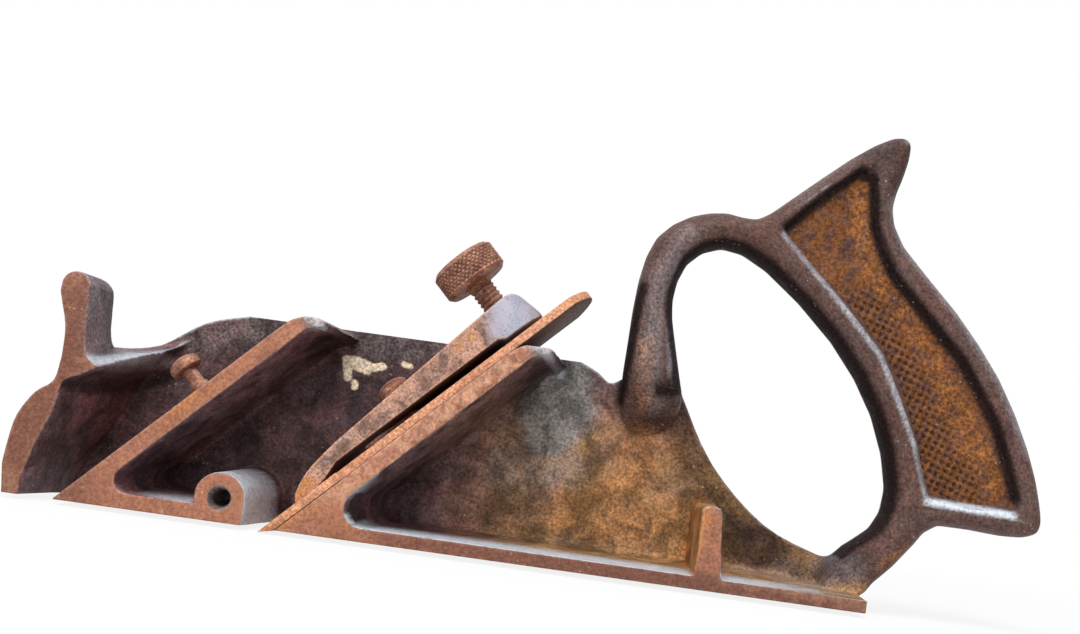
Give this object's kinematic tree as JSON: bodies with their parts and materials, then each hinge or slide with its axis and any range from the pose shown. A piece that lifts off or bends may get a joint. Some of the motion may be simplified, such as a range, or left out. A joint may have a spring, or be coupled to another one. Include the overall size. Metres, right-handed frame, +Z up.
{
  "type": "rebate plane",
  "caption": "Cast-iron duplex rebate plane: open-sided body with closed handle, cutter held by a lever cap, bull-nose seat, spur and depth gauge.",
  "frame": {"origin": "on the sole's plane, midway along the sole's length and midway across its width", "axes": "+X from toe to heel, -Y out of the open left side, +Y out of the flat right side, +Z up from the sole"},
  "size_m": [0.2529, 0.0501, 0.1195],
  "materials": {
    "body_iron": "worn black japan over cast iron, brown rust on the bare faces and edges",
    "cutter_steel": "rust-browned steel",
    "cap_iron": "grey-brown pitted iron",
    "screw_steel": "rust-browned steel, knurled heads",
    "gauge_iron": "grey-brown iron"
  },
  "bodies": {
    "body": {"body_casting": "body_iron"},
    "cutter": {"cutter": "cutter_steel"},
    "lever_cap": {"lever_cap": "cap_iron"},
    "cap_thumb_screw": {"cap_thumb_screw": "screw_steel"},
    "rear_cap_screw": {"rear_cap_screw": "screw_steel"},
    "front_cap_screw": {"front_cap_screw": "screw_steel"},
    "spur": {"spur": "cutter_steel"},
    "spur_screw": {"spur_screw": "screw_steel"},
    "depth_gauge": {"depth_gauge": "gauge_iron"},
    "depth_gauge_screw": {"depth_gauge_screw": "screw_steel"}
  },
  "joints": [
    {"name": "cutter_slide", "type": "slide", "parent": "body", "child": "cutter", "axis": [0.7071, 0, 0.7071], "range_m": [-0.001, 0.012]},
    {"name": "lever_cap_slide", "type": "slide", "parent": "body", "child": "lever_cap", "axis": [0.7071, 0, 0.7071], "range_m": [0, 0.01]},
    {"name": "cap_thumb_screw_turn", "type": "hinge", "parent": "lever_cap", "child": "cap_thumb_screw", "pos_m": [0.0148, -0.0025, 0.0524], "axis": [-0.7071, 0, 0.7071], "continuous": true},
    {"name": "rear_cap_screw_turn", "type": "hinge", "parent": "body", "child": "rear_cap_screw", "pos_m": [-0.00847, -0.0025, 0.02913], "axis": [-0.7071, 0, 0.7071], "continuous": true},
    {"name": "front_cap_screw_turn", "type": "hinge", "parent": "body", "child": "front_cap_screw", "pos_m": [-0.06257, -0.0025, 0.02913], "axis": [-0.7071, 0, 0.7071], "continuous": true},
    {"name": "spur_turn", "type": "hinge", "parent": "body", "child": "spur", "pos_m": [-0.065, 0.018, 0.0078], "axis": [0, 1, 0], "continuous": true},
    {"name": "spur_screw_turn", "type": "hinge", "parent": "body", "child": "spur_screw", "pos_m": [-0.065, 0.017, 0.0078], "axis": [0, 1, 0], "continuous": true},
    {"name": "depth_gauge_slide", "type": "slide", "parent": "body", "child": "depth_gauge", "axis": [0, 0, 1], "range_m": [-0.015, 0]},
    {"name": "depth_gauge_screw_turn", "type": "hinge", "parent": "body", "child": "depth_gauge_screw", "pos_m": [-0.058, 0.02, 0.0305], "axis": [0, 1, 0], "continuous": true}
  ]
}
